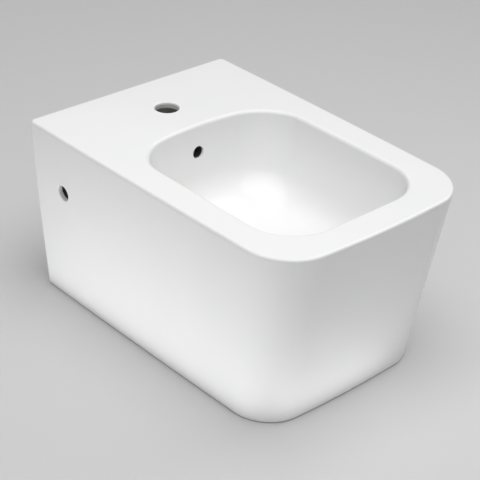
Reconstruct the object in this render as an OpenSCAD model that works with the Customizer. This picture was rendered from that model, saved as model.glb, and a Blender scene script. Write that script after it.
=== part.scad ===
// Wall-hung bidet: a glazed china body, its concealed side fixings and its push-open waste.
// Millimetres. X runs to the right as seen from the front, Y into the wall, Z up.
// The origin is on the wall, midway between the two wall studs.

/* [Body] */
// Width across the deck at the wall
body_w = 360; // [345:1:400]
// Projection from the wall
body_l = 525; // [505:1:560]
// Height from the underside to the deck
body_h = 277; // [265:1:300]
// Height of the wall studs and side holes above the underside
stud_h = 188; // [180:1:200]
// How far each side draws in towards the front
side_draw = 8; // [1:1:12]
// How far the middle of the front bows out
front_bow = 11; // [3:1:16]
// How far each side leans in from the deck to the foot
side_lean = 23; // [10:1:30]
// How far the front leans back from the deck to the foot
front_lean = 39; // [20:1:50]
// Swell of the sides, where 1 is a straight lean
side_swell = 1.2; // [1:0.05:1.5]
// Swell of the front, where 1 is a straight lean
front_swell = 0.9; // [0.8:0.05:1.2]
// Plan radius of the front corners at the deck
deck_corner_r = 65; // [55:1:75]
// Plan radius of the front corners at the foot
foot_corner_r = 56; // [48:1:65]
// Plan radius of the rear corners
rear_corner_r = 9; // [3:0.5:12]
// Round-over of the deck's edge
deck_edge_r = 4.5; // [3:0.5:6]
// Round-over of the foot's edge
foot_edge_r = 3; // [2:0.5:5]

/* [China thickness] */
// Side and front walls
wall_t = 12; // [9:0.5:14]
// Deck
deck_t = 10; // [9:0.5:18]
// Bowl
bowl_t = 11; // [9:0.5:13]
// Foot rim
foot_t = 12; // [10:0.5:16]
// How far the foot rim reaches in past the walls
foot_reach = 20; // [12:1:28]
// Back frame
back_t = 13; // [10:0.5:16]
// How far the back frame reaches in past the side walls
back_reach = 4; // [2:0.5:5]
// Height of the back frame's lower bar
back_bar_h = 28; // [20:1:34]
// Height of the back frame's upper bar below the deck
back_top_h = 8; // [6:1:14]
// Thickening round each side hole
pad_t = 4; // [2:0.5:6]
// Radius of that thickening
pad_r = 22; // [18:1:26]

/* [Basin] */
// Rim width at the sides
rim_side = 51.5; // [44:0.5:54]
// Rim width at the front
rim_front = 49; // [40:1:52]
// Distance from the wall to the basin
basin_rear = 157; // [150:1:165]
// Depth of the drain below the deck
basin_depth = 150; // [142:1:158]
// Bow of the basin's rear edge
basin_rear_bow = 20; // [8:1:26]
// Bow of the basin's front edge
basin_front_bow = 3; // [1:0.5:6]
// Plan radius of the basin's rear corners
basin_rear_r = 60; // [50:1:68]
// Plan radius of the basin's front corners
basin_front_r = 64; // [54:1:70]
// Depth at which the walls turn into the floor
basin_wall_h = 78; // [70:1:86]
// Inward draft of the side walls down to there
draft_side = 9; // [5:1:14]
// Inward draft of the rear wall
draft_rear = 4; // [2:1:8]
// Inward draft of the front wall
draft_front = 16; // [8:1:22]
// Height of the round between wall and floor
cove_h = 50; // [42:1:54]
// Width of that round
cove_w = 45; // [36:1:52]
// Rounding of the basin's lip
lip_r = 5; // [3:0.5:7]

/* [Tap hole and overflow] */
// Tap hole diameter
tap_hole_d = 35; // [32:0.5:38]
// Distance from the wall to the tap hole
tap_hole_y = 87; // [80:1:90]
// Overflow hole diameter
overflow_d = 18.5; // [16:0.5:22]
// Drop of the overflow hole below the deck
overflow_drop = 43.5; // [36:0.5:48]
// Diameter of the overflow's duct
duct_d = 17; // [15:0.5:19]
// China round the duct
duct_t = 8; // [6:0.5:9]
// How much narrower the duct's level run to the waste is
duct_step = 2; // [1:0.5:4]
// Drop of the duct's mouth below the drain
duct_drop = 22; // [20:0.5:24]

/* [Side fixing] */
// Wall stud spacing
stud_spacing = 180; // [170:1:190]
// Hole for the wall stud
stud_hole_d = 13; // [12.5:0.1:13.5]
// Side hole diameter
side_hole_d = 23; // [21.5:0.5:24]
// Distance from the wall to the side holes
side_hole_y = 71; // [66:1:76]
// Bracket plate thickness
bracket_t = 5; // [4:0.5:6]
// Bracket height
bracket_h = 84; // [50:1:90]
// Bracket plate's reach past the stud
bracket_margin = 44; // [16:1:48]
// Radius of the leg's round end
leg_end_r = 18; // [15:1:20]
// Outside bend radius of the bracket
bend_r = 7; // [6:0.5:9]
// Thread diameter of the clamp screw and of the wall stud
thread_d = 12; // [11.5:0.1:12]
// Clamp screw's thread pitch
thread_pitch = 1.75; // [1.25:0.25:1.75]
// Width across flats of the nuts
nut_af = 19; // [18:0.5:21]
// Nut height
nut_h = 10; // [8:0.5:11]
// Washer diameter
washer_d = 24; // [22:0.5:28]
// Washer thickness
washer_t = 2.5; // [2:0.25:3]
// Width across flats of the clamp screw's socket
socket_af = 6; // [5.5:0.25:6.5]
// Depth of that socket
socket_depth = 7; // [5:0.5:9]
// Diameter of the clamp screw's collar
collar_d = 20; // [18:0.5:24]
// Thickness of that collar
collar_t = 3; // [2:0.5:4]
// Clamp cone's nose diameter
cone_nose_d = 18; // [16:0.5:19]
// Clamp cone's base diameter
cone_base_d = 26; // [25:0.5:28]
// Length of the cone's taper
cone_l = 10; // [9:0.5:12]
// Cone flange's diameter
cone_flange_d = 32; // [30:0.5:36]
// Cone flange's thickness
cone_flange_t = 4; // [3:0.5:5]
// How far the cone backs out of the side hole
cone_travel = 8; // [6:0.5:8.5]
// How far the clamp screw reaches into the cone's taper
screw_reach = 6.5; // [5:0.5:8.5]

/* [Waste] */
// Distance from the wall to the waste
waste_y = 330; // [318:1:340]
// Waste hole diameter
waste_hole_d = 46; // [45:0.5:48]
// Length of the waste hole
waste_hole_l = 40; // [36:1:44]
// China round the waste hole
waste_hole_t = 17; // [13:1:19]
// Flat seat round the waste hole
waste_seat_d = 72; // [68:1:76]
// Waste thread diameter
waste_d = 41.91; // [41.5:0.01:42]
// Waste wall thickness
waste_t = 3.5; // [3:0.25:4]
// Waste length below its seal
waste_l = 68; // [64:1:74]
// Width of the groove where the thread ends under the back nut
groove_w = 1.2; // [1:0.1:2]
// Depth of that groove
groove_depth = 0.6; // [0.4:0.1:1]
// Chamfer at the waste's lower end
tail_chamfer = 0.8; // [0.5:0.1:1.5]
// Waste flange diameter
flange_d = 64; // [60:0.5:66]
// Waste flange thickness
flange_t = 3; // [2.5:0.25:4]
// Width of the bevel on top of the flange
flange_bevel = 2; // [1:0.25:3]
// Height of the flange's edge
flange_edge_h = 0.8; // [0.5:0.1:1.5]
// Gap round the plug's seal in the flange's funnel
funnel_gap = 0.5; // [0.3:0.1:1]
// Top seal thickness
top_seal_t = 2; // [1.5:0.25:3]
// How far the top seal stays back from the flange's edge
seal_setback = 1; // [0.5:0.25:2]
// Width and height of each overflow slot in the waste
slot_w = 9; // [6:0.5:10]
slot_h = 14; // [10:0.5:16]
// Cone washer height
cone_washer_h = 7; // [6:0.5:9]
// Cone washer diameter
cone_washer_d = 60; // [56:0.5:66]
// Width of the cone washer's flat top beyond the waste hole
washer_land = 4; // [2:0.5:6]
// Slip ring thickness
slip_ring_t = 2; // [1.5:0.25:3]
// Back nut width across flats
back_nut_af = 52; // [50:0.5:56]
// Back nut height
back_nut_h = 8; // [7:0.5:9]

/* [Plug] */
// Dome diameter
dome_d = 63; // [58:0.5:64]
// Dome height
dome_h = 5.2; // [4.5:0.1:7]
// Height of the dome's edge
dome_edge_h = 1.4; // [1:0.1:2]
// Plug travel
plug_travel = 8.5; // [6:0.5:9]
// Diameter of the disc under the dome
disc_d = 31; // [29:0.5:32]
// Disc thickness
disc_t = 4; // [3:0.25:5]
// Plug seal's width
plug_seal_w = 2; // [1:0.25:2.25]
// Stem diameter
stem_d = 5.8; // [5:0.1:6.4]
// How far the stem stands out below the cartridge
stem_out = 2; // [1:0.5:4]
// Chamfer at the stem's end
stem_chamfer = 0.6; // [0.3:0.1:1]
// Cartridge diameter
cartridge_d = 16; // [15:0.5:17]
// Cartridge length
cartridge_l = 28; // [24:1:30]
// Cartridge well diameter
well_d = 12.6; // [12:0.1:13]
// Cartridge floor thickness
well_floor_t = 4; // [3:0.5:6]
// Thickness of the bridge that holds the cartridge
bridge_h = 6; // [5:0.5:8]
// Height of the bridge above the cartridge's lower end
bridge_rise = 8; // [4:0.5:12]
// Wall of the bridge's ring round the cartridge
bridge_ring_t = 3; // [2:0.5:4]
// Width of each of the bridge's arms
arm_w = 4; // [3:0.5:5]
// Spring wire diameter
spring_wire_d = 1.1; // [0.8:0.1:1.2]
// Spring diameter at the middle of its wire
spring_d = 9.4; // [8.8:0.1:9.8]
// Number of spring turns
spring_turns = 7; // [5:1:8]

/* [Hidden] */
$fn = 64;

// Clearances
run_gap = 0.06;   // a shaft in its hole, on the radius
seat_gap = 0.3;   // between moving faces that nearly touch
slide_gap = 0.05; // a ring round the waste's thread, on the radius
past = 1;         // how far a cutter runs past a face

// Heights, from the stud height
deck_z = body_h - stud_h;
foot_z = -stud_h;
drain_z = deck_z - basin_depth;
ceiling_z = deck_z - deck_t;
duct_z = drain_z - duct_drop;
boss_z = drain_z - waste_hole_l;

// Steps of the lofts
corner_steps = 8;
rear_steps = 3;
side_steps = 8;
front_steps = 6;
edge_steps = 3;
body_steps = 8;

// Outlines

function arc(cx, cy, r, from, to, steps) =
    [for (i = [0 : steps]) let (a = from + (to - from) * i / steps) [cx + r * cos(a), cy + r * sin(a)]];

// The right half runs from the middle of the front to the middle of the rear, and the left half mirrors it
function both_halves(right) =
    concat(right, [for (i = [len(right) - 2 : -1 : 1]) [-right[i].x, right[i].y]]);

function plan(hw, rear, front, r_rear, r_front, n_rear) =
    both_halves(concat(
        [for (i = [0 : front_steps - 1]) [(hw - r_front) * i / front_steps, front]],
        arc(hw - r_front, front + r_front, r_front, -90, 0, corner_steps),
        [for (i = [1 : side_steps - 1])
            [hw, front + r_front + (rear - r_rear - front - r_front) * i / side_steps]],
        arc(hw - r_rear, rear - r_rear, r_rear, 0, 90, n_rear),
        [for (i = [1 : front_steps]) [(hw - r_rear) * (1 - i / front_steps), rear]]
    ));

function share(h) = max(1 - h / body_h, 0);
function lean_x(h) = side_lean * pow(share(h), side_swell);
function lean_y(h) = front_lean * pow(share(h), front_swell);
function along(y) = min(max(-y / body_l, 0), 1);

function draw_in(y) = 1 - side_draw * pow(along(y), 2) / (body_w / 2);
function bow_out(x, y, hw) = front_bow * (1 - pow(x / hw, 2)) * pow(max(2 * along(y) - 1, 0), 2);

// Body outline at height h above the underside, moved in by inset, its rear edge at rear
function body_ring(h, inset, rear) =
    let (
        hw = body_w / 2 - lean_x(h) - inset,
        front = -(body_l - front_bow - lean_y(h) - inset),
        r_front = deck_corner_r + (foot_corner_r - deck_corner_r) * share(h) - inset,
        r_rear = max(rear_corner_r - inset, 1)
    )
    [for (p = plan(hw, rear, front, r_rear, r_front, rear_steps))
        [p.x * draw_in(p.y), p.y - bow_out(p.x, p.y, hw), foot_z + h]];

function body_rings() = concat(
    [for (i = [0 : edge_steps]) let (a = 90 - 90 * i / edge_steps, inset = foot_edge_r * (1 - cos(a)))
        body_ring(foot_edge_r * (1 - sin(a)), inset, -inset)],
    [for (i = [1 : body_steps - 1])
        body_ring(foot_edge_r + (body_h - foot_edge_r - deck_edge_r) * i / body_steps, 0, 0)],
    [for (i = [0 : edge_steps]) let (a = 90 * i / edge_steps, inset = deck_edge_r * (1 - cos(a)))
        body_ring(body_h - deck_edge_r * (1 - sin(a)), inset, -inset)]
);

// Where the side face lies at a given height and distance from the wall
function side_face_x(h, y) = (body_w / 2 - lean_x(h)) * draw_in(y);

// Basin

basin_hw = body_w / 2 - rim_side;
basin_front = body_l - rim_front;
cove_reach = basin_hw - draft_side - waste_seat_d / 2;
cove_end = 75; // angle at which the round meets the sloping floor
cove_steps = 6;
floor_steps = 3;
wall_steps = 3;

// Basin outline at depth d on the walls, grown by out
function basin_plan(d, out) =
    let (
        k = pow(min(max(d / basin_wall_h, 0), 1), 1.2),
        hw = basin_hw - draft_side * k + out,
        rear = -(basin_rear + draft_rear * k - out),
        front = -(basin_front - basin_front_bow - draft_front * k + out)
    )
    [for (p = plan(hw, rear, front, basin_rear_r + out, basin_front_r + out, corner_steps))
        let (
            middle = (rear + front) / 2,
            t = (p.y - middle) / (rear - middle),
            bow = p.y > middle ? -basin_rear_bow * pow(p.x / hw, 2) * pow(t, 2)
                : -basin_front_bow * (1 - pow(p.x / hw, 2)) * pow(t, 2)
        )
        [p.x, p.y + bow]];

function to_drain(p, k, r) =
    let (dx = p.x, dy = p.y + waste_y, n = norm([dx, dy]))
    [p.x + (dx / n * r - p.x) * k, p.y + (dy / n * r - waste_y - p.y) * k];

// Floor outline: share k of the way from the wall's foot to the drain seat
function floor_ring(k, d, thick, tilt) =
    [for (p = basin_plan(basin_wall_h, thick * cos(tilt)))
        let (q = to_drain(p, k, waste_seat_d / 2 + thick * cos(tilt)))
        [q.x, q.y, deck_z - d - thick * sin(tilt)]];

cove_depth = basin_wall_h + cove_h * sin(cove_end);
cove_share = cove_w * (1 - cos(cove_end)) / cove_reach;

function floor_rings(thick) = concat(
    [for (i = [floor_steps : -1 : 1]) let (s = i / floor_steps)
        floor_ring(cove_share + (1 - cove_share) * s, cove_depth + (basin_depth - cove_depth) * s, thick, 90)],
    [for (i = [cove_steps : -1 : 1]) let (a = cove_end * i / cove_steps)
        floor_ring(cove_w * (1 - cos(a)) / cove_reach, basin_wall_h + cove_h * sin(a), thick, a)]
);

function wall_ring(d, thick) = [for (p = basin_plan(d, thick)) [p.x, p.y, deck_z - d]];

function basin_rings() = concat(
    floor_rings(0),
    [for (i = [wall_steps : -1 : 0]) wall_ring(lip_r + (basin_wall_h - lip_r) * i / wall_steps, 0)],
    [for (i = [1 : edge_steps]) let (a = 90 * i / edge_steps)
        [for (p = basin_plan(lip_r * (1 - sin(a)), lip_r * (1 - cos(a)))) [p.x, p.y, deck_z - lip_r * (1 - sin(a))]]],
    [[for (p = basin_plan(0, lip_r)) [p.x, p.y, deck_z + past]]]
);

function bowl_rings() = concat(
    floor_rings(bowl_t),
    [for (i = [wall_steps : -1 : 0]) wall_ring(deck_t / 2 + (basin_wall_h - deck_t / 2) * i / wall_steps, bowl_t)]
);

// Solid through outlines that are stacked from the bottom to the top
module loft(rings) {
    n = len(rings[0]);
    m = len(rings);
    function middle(r) = [for (k = [0 : 2]) (r[0][k] + r[n / 2][k]) / 2];
    points = concat([for (r = rings) each r], [middle(rings[0]), middle(rings[m - 1])]);
    sides = [for (j = [0 : m - 2], i = [0 : n - 1])
        let (a = j * n + i, b = j * n + (i + 1) % n)
        each [[a, a + n, b + n], [a, b + n, b]]];
    bottom = [for (i = [0 : n - 1]) [n * m, i, (i + 1) % n]];
    top = [for (i = [0 : n - 1]) [n * m + 1, n * (m - 1) + (i + 1) % n, n * (m - 1) + i]];
    polyhedron(points, concat(bottom, sides, top));
}

// China body

hollow_steps = 5;
hollow_h = body_h - deck_t - foot_t;

module hollow() {
    loft([for (i = [0 : hollow_steps]) body_ring(foot_t + hollow_h * i / hollow_steps, wall_t, -back_t)]);
}

module foot_opening() {
    inset = wall_t + foot_reach;
    loft([for (h = [-past, foot_t + past]) body_ring(h, inset, -back_t - foot_reach)]);
}

module back_opening() {
    low = back_bar_h;
    high = body_h - deck_t - back_top_h;
    inset = wall_t + back_reach;
    low_x = side_face_x(low, 0) - inset;
    high_x = side_face_x(high, 0) - inset;
    translate([0, past, foot_z])
        rotate([90, 0, 0])
            linear_extrude(back_t + 2 * past)
                polygon([[-low_x, low], [low_x, low], [high_x, high], [-high_x, high]]);
}

// Places that the side fixing and the overflow share
fix_y = -side_hole_y;
face_x = side_face_x(stud_h, fix_y);
seat_x = face_x - wall_t - pad_t;
duct_y = -(basin_rear - bowl_t - duct_d / 2);
duct_half_w = duct_d / 2 + duct_t;
overflow_z = deck_z - overflow_drop;
cove_z = deck_z - basin_wall_h - cove_h / 2;

module along_x(x) {
    translate([x, 0, 0])
        rotate([0, 90, 0])
            children();
}

module side_pads() {
    for (s = [-1, 1])
        on_side(s)
            translate([0, fix_y, 0])
                along_x(seat_x)
                    cylinder(r = pad_r, h = wall_t + pad_t);
}

module on_side(s) {
    if (s < 0) mirror([1, 0, 0]) children();
    else children();
}

// China that stays inside the hollow: bowl, overflow duct, waste boss and side pads
module inner_china() {
    loft(bowl_rings());
    translate([-duct_half_w, -basin_rear - bowl_t, duct_z - duct_half_w])
        cube([2 * duct_half_w, basin_rear + bowl_t + duct_y, ceiling_z - duct_z + duct_half_w + past]);
    translate([0, duct_y, duct_z - duct_half_w])
        cylinder(r = duct_half_w, h = ceiling_z - duct_z + duct_half_w + past);
    translate([-duct_half_w, -waste_y, duct_z - duct_half_w])
        cube([2 * duct_half_w, waste_y - basin_rear, cove_z - duct_z + duct_half_w]);
    translate([0, -waste_y, boss_z])
        cylinder(d = waste_hole_d + 2 * waste_hole_t, h = waste_hole_l - past);
    side_pads();
}

module holes() {
    translate([0, -tap_hole_y, ceiling_z - past])
        cylinder(d = tap_hole_d, h = deck_t + 2 * past);
    translate([0, -waste_y, boss_z - past])
        cylinder(d = waste_hole_d, h = waste_hole_l + 2 * past);
    translate([0, duct_y, overflow_z])
        rotate([90, 0, 0])
            cylinder(d = overflow_d, h = bowl_t + duct_d / 2 + draft_rear + past);
    translate([0, duct_y, duct_z])
        cylinder(d = duct_d, h = overflow_z - duct_z);
    translate([0, duct_y, duct_z])
        sphere(d = duct_d);
    translate([0, duct_y, overflow_z])
        sphere(d = overflow_d);
    translate([0, duct_y, duct_z])
        rotate([90, 0, 0])
            cylinder(d = duct_d - duct_step, h = waste_y + duct_y);
    for (s = [-1, 1])
        on_side(s)
            translate([0, fix_y, 0])
                along_x(seat_x - past)
                    cylinder(d = side_hole_d, h = wall_t + pad_t + side_lean);
}

module ceramic_body() {
    color("white")
        difference() {
            loft(body_rings());
            difference() {
                union() {
                    hollow();
                    foot_opening();
                    back_opening();
                }
                inner_china();
            }
            loft(basin_rings());
            holes();
        }
}

// Side fixing, drawn for the right side

cone_seat_r = side_hole_d / 2 - seat_gap;
cone_seat_l = cone_l * (cone_base_d / 2 - cone_seat_r) / (cone_base_d / 2 - cone_nose_d / 2);
cone_x = seat_x - cone_seat_l;
cone_back_x = cone_x - cone_flange_t;
collar_x = cone_back_x - seat_gap - collar_t;
leg_x = collar_x - cone_travel - 2 * seat_gap;
stud_x = stud_spacing / 2;
nut_x = leg_x - bracket_t - nut_h;
screw_in_x = nut_x - cone_travel / 2;
screw_out_x = cone_x + screw_reach;
leg_l = side_hole_y + leg_end_r;
thread_depth = 0.6134 * thread_pitch; // of a metric thread

module bracket_profile() {
    inner_r = bend_r - bracket_t;
    plate_x = stud_x - bracket_margin;
    polygon(concat(
        [[plate_x, 0], [plate_x, -bracket_t]],
        arc(leg_x - bend_r, -bend_r, inner_r, 90, 0, 4),
        [[leg_x - bracket_t, -leg_l], [leg_x, -leg_l]],
        arc(leg_x - bend_r, -bend_r, bend_r, 0, 90, 4)
    ));
}

module leg_outline() {
    half_h = bracket_h / 2;
    polygon(concat(
        [[past, -half_h], [past, half_h], [-bracket_t - bend_r, half_h]],
        arc(fix_y, 0, leg_end_r, 90, 270, 16),
        [[-bracket_t - bend_r, -half_h]]
    ));
}

module bracket() {
    color("lightsteelblue")
        difference() {
            intersection() {
                translate([0, 0, -bracket_h / 2])
                    linear_extrude(bracket_h)
                        bracket_profile();
                rotate([90, 0, 90])
                    linear_extrude(body_w / 2)
                        leg_outline();
            }
            translate([stud_x, past, 0])
                rotate([90, 0, 0])
                    cylinder(d = stud_hole_d, h = bracket_t + 2 * past);
            translate([0, fix_y, 0])
                along_x(leg_x - bracket_t - past)
                    cylinder(d = stud_hole_d, h = bracket_t + 2 * past);
        }
}

// Hex nut lying on z = 0, its corners turned off on top
module hex_nut(af, h, bore) {
    corner_r = af / sqrt(3);
    chamfer = corner_r - af / 2;
    difference() {
        intersection() {
            cylinder(r = corner_r, h = h, $fn = 6);
            rotate_extrude()
                polygon([
                    [0, 0], [corner_r + past, 0], [corner_r + past, h - chamfer / 2 - past / 2],
                    [af / 2, h], [0, h]
                ]);
        }
        translate([0, 0, -past])
            cylinder(d = bore, h = h + 2 * past);
    }
}

module stud_washer() {
    color("silver")
        translate([stud_x, -bracket_t, 0])
            rotate([90, 0, 0])
                difference() {
                    cylinder(d = washer_d, h = washer_t);
                    translate([0, 0, -past])
                        cylinder(d = stud_hole_d, h = washer_t + 2 * past);
                }
}

module stud_nut() {
    color("silver")
        translate([stud_x, -bracket_t - washer_t, 0])
            rotate([90, 0, 0])
                hex_nut(nut_af, nut_h, thread_d + 2 * run_gap);
}

module bracket_nut() {
    color("silver")
        translate([nut_x + nut_h, fix_y, 0])
            rotate([0, -90, 0])
                hex_nut(nut_af, nut_h, thread_d + 2 * run_gap);
}

module clamp_screw() {
    thread_r = thread_d / 2;
    socket_r = socket_af / sqrt(3);
    chamfer = thread_depth;
    length = screw_out_x - screw_in_x;
    collar_at = collar_x - screw_in_x;
    color("silver")
        translate([0, fix_y, 0])
            along_x(screw_in_x)
                difference() {
                    rotate_extrude()
                        polygon([
                            [0, 0], [thread_r - chamfer, 0], [thread_r, chamfer], [thread_r, collar_at],
                            [collar_d / 2, collar_at], [collar_d / 2, collar_at + collar_t],
                            [thread_r, collar_at + collar_t], [thread_r, length - chamfer],
                            [thread_r - chamfer, length], [0, length]
                        ]);
                    translate([0, 0, length - socket_depth])
                        cylinder(r = socket_r, h = socket_depth + past, $fn = 6);
                }
}

module clamp_cone() {
    bore_r = thread_d / 2 + run_gap;
    color("dimgray")
        translate([0, fix_y, 0])
            along_x(cone_back_x)
                rotate_extrude()
                    polygon([
                        [bore_r, 0], [cone_flange_d / 2, 0], [cone_flange_d / 2, cone_flange_t],
                        [cone_base_d / 2, cone_flange_t], [cone_nose_d / 2, cone_flange_t + cone_l],
                        [bore_r, cone_flange_t + cone_l]
                    ]);
}

// Waste and plug, drawn with z = 0 on the basin's floor

waste_r = waste_d / 2;
bore_r = waste_r - waste_t;
flange_z = top_seal_t;
flange_top_z = top_seal_t + flange_t;
funnel_r = disc_d / 2 + plug_seal_w + funnel_gap;
ring_bore_r = waste_r + slide_gap;
cartridge_z = -cartridge_l;
bridge_z = cartridge_z + bridge_rise;
dome_z = flange_top_z + seat_gap + plug_travel;
disc_z = dome_z - disc_t;
stem_z = cartridge_z - stem_out;

module at_waste() {
    translate([0, -waste_y, drain_z])
        children();
}

module waste_body() {
    funnel_h = flange_t + top_seal_t;
    groove_z = -(waste_hole_l + cone_washer_h + slip_ring_t + back_nut_h);
    groove_r = waste_r - groove_depth;
    color("silver")
        at_waste() {
            difference() {
                rotate_extrude()
                    polygon([
                        [bore_r, -waste_l], [waste_r - tail_chamfer, -waste_l], [waste_r, -waste_l + tail_chamfer],
                        [waste_r, groove_z - groove_w], [groove_r, groove_z - groove_w],
                        [groove_r, groove_z], [waste_r, groove_z], [waste_r, flange_z],
                        [flange_d / 2 - flange_edge_h, flange_z], [flange_d / 2, flange_z + flange_edge_h],
                        [flange_d / 2 - flange_bevel, flange_top_z],
                        [funnel_r, flange_top_z], [funnel_r, flange_top_z - funnel_h / 2], [bore_r, flange_top_z - funnel_h]
                    ]);
                for (a = [60 : 120 : 300])
                    rotate([0, 0, a])
                        translate([0, -slot_w / 2, -duct_drop - slot_h / 2])
                            cube([waste_r + past, slot_w, slot_h]);
            }
            difference() {
                translate([0, 0, bridge_z])
                    cylinder(d = cartridge_d + 2 * bridge_ring_t, h = bridge_h);
                translate([0, 0, bridge_z - past])
                    cylinder(d = cartridge_d, h = bridge_h + 2 * past);
            }
            for (a = [0 : 120 : 240])
                rotate([0, 0, a])
                    translate([cartridge_d / 2 + bridge_ring_t / 3, -arm_w / 2, bridge_z])
                        cube([bore_r - cartridge_d / 2, arm_w, bridge_h]);
        }
}

module ring(inner_r, outer_r, low, high) {
    rotate_extrude()
        translate([inner_r, low])
            square([outer_r - inner_r, high - low]);
}

module waste_top_seal() {
    color("dimgray")
        at_waste()
            ring(ring_bore_r, flange_d / 2 - seal_setback, 0, top_seal_t);
}

module waste_cone_washer() {
    top = -waste_hole_l;
    color("dimgray")
        at_waste()
            rotate_extrude()
                polygon([
                    [ring_bore_r, top], [waste_hole_d / 2 + washer_land, top], [cone_washer_d / 2, top - cone_washer_h / 2],
                    [cone_washer_d / 2, top - cone_washer_h], [ring_bore_r, top - cone_washer_h]
                ]);
}

module waste_slip_ring() {
    top = -waste_hole_l - cone_washer_h;
    color("white")
        at_waste()
            ring(ring_bore_r, cone_washer_d / 2, top - slip_ring_t, top);
}

module waste_back_nut() {
    top = -waste_hole_l - cone_washer_h - slip_ring_t;
    color("goldenrod")
        at_waste()
            translate([0, 0, top])
                mirror([0, 0, 1])
                    hex_nut(back_nut_af, back_nut_h, 2 * ring_bore_r);
}

module plug_cartridge() {
    color("white")
        at_waste()
            difference() {
                translate([0, 0, cartridge_z])
                    cylinder(d = cartridge_d, h = cartridge_l);
                translate([0, 0, cartridge_z + well_floor_t])
                    cylinder(d = well_d, h = cartridge_l);
                translate([0, 0, cartridge_z - past])
                    cylinder(d = stem_d + 2 * run_gap, h = cartridge_l);
            }
}

module plug_dome() {
    r = dome_d / 2;
    edge = dome_edge_h;
    color("silver")
        at_waste()
            translate([0, 0, dome_z])
                rotate_extrude()
                    polygon(concat(
                        [[0, 0], [r - edge / 2, 0], [r, edge]],
                        [for (i = [1 : 8]) let (t = i / 8) [r * (1 - t), edge + (dome_h - edge) * (1 - pow(1 - t, 2))]]
                    ));
}

module plug_seal() {
    r = disc_d / 2;
    soft = plug_seal_w / 2;
    color("dimgray")
        at_waste()
            rotate_extrude()
                polygon([
                    [r, disc_z], [r + plug_seal_w - soft, disc_z], [r + plug_seal_w, disc_z + soft],
                    [r + plug_seal_w, disc_z + disc_t - soft], [r + plug_seal_w - soft, disc_z + disc_t], [r, disc_z + disc_t]
                ]);
}

module plug_plunger() {
    color("silver")
        at_waste()
            rotate_extrude()
                polygon([
                    [0, stem_z], [stem_d / 2 - stem_chamfer, stem_z], [stem_d / 2, stem_z + stem_chamfer],
                    [stem_d / 2, disc_z], [disc_d / 2, disc_z], [disc_d / 2, disc_z + disc_t], [0, disc_z + disc_t]
                ]);
}

spring_low = cartridge_z + well_floor_t + spring_wire_d / 2;
spring_high = disc_z - seat_gap - spring_wire_d / 2;
spring_steps = 10;
spring_sides = 6;

function spring_middle(i) =
    let (a = 360 * i / spring_steps)
    [spring_d / 2 * cos(a), spring_d / 2 * sin(a), spring_low + (spring_high - spring_low) * i / (spring_turns * spring_steps)];

// Ring of the spring's wire, square to the helix
function spring_ring(i) =
    let (
        a = 360 * i / spring_steps,
        lead = atan2((spring_high - spring_low) / spring_turns, PI * spring_d),
        outward = [cos(a), sin(a), 0],
        upward = [sin(a) * sin(lead), -cos(a) * sin(lead), cos(lead)]
    )
    [for (j = [0 : spring_sides - 1]) let (b = 360 * j / spring_sides)
        spring_middle(i) + spring_wire_d / 2 * (outward * cos(b) + upward * sin(b))];

module plug_spring() {
    last = spring_turns * spring_steps;
    n = spring_sides;
    points = [for (i = [0 : last]) each spring_ring(i)];
    walls = [for (i = [0 : last - 1], j = [0 : n - 1])
        let (a = i * n + j, b = i * n + (j + 1) % n)
        each [[a, b, b + n], [a, b + n, a + n]]];
    first_end = [for (j = [2 : n - 1]) [0, j, j - 1]];
    last_end = [for (j = [2 : n - 1]) [last * n, last * n + j - 1, last * n + j]];
    color("silver")
        at_waste()
            polyhedron(points, concat(walls, first_end, last_end));
}

spring_gap = min([for (i = [0 : spring_steps]) norm(spring_middle(i + spring_steps) - spring_middle(i))]) - spring_wire_d;
echo(spring_least_gap = spring_gap, clamp_screw_turns = cone_travel / thread_pitch);

ceramic_body();
on_side(-1) bracket();  // bracket_left
on_side(1) bracket();  // bracket_right
on_side(-1) stud_washer();  // stud_washer_left
on_side(1) stud_washer();  // stud_washer_right
on_side(-1) stud_nut();  // stud_nut_left
on_side(1) stud_nut();  // stud_nut_right
on_side(-1) bracket_nut();  // bracket_nut_left
on_side(1) bracket_nut();  // bracket_nut_right
on_side(-1) clamp_screw();  // clamp_screw_left
on_side(1) clamp_screw();  // clamp_screw_right
on_side(-1) clamp_cone();  // clamp_cone_left
on_side(1) clamp_cone();  // clamp_cone_right
waste_body();
waste_top_seal();
waste_cone_washer();
waste_slip_ring();
waste_back_nut();
plug_cartridge();
plug_dome();
plug_seal();
plug_plunger();
plug_spring();
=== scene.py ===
import math

import bmesh
import bpy
import numpy as np
from mathutils import Matrix, Vector


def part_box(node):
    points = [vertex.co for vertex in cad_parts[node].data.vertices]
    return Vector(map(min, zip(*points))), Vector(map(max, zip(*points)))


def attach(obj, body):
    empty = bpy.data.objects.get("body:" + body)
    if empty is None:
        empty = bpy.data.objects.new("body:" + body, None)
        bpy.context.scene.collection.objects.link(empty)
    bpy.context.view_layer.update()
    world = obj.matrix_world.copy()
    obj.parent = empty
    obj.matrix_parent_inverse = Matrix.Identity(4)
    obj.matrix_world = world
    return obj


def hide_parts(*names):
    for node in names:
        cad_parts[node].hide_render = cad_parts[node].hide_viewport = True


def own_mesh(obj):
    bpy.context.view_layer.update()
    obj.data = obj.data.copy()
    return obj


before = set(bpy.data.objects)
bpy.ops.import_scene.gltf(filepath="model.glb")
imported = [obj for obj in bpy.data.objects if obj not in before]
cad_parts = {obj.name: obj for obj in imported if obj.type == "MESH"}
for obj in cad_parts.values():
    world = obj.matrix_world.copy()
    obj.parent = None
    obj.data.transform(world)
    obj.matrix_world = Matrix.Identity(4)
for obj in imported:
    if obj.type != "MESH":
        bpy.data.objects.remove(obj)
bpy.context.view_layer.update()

MM = 0.001  # the sizes below are millimetres, and the meshes are metres

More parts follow.
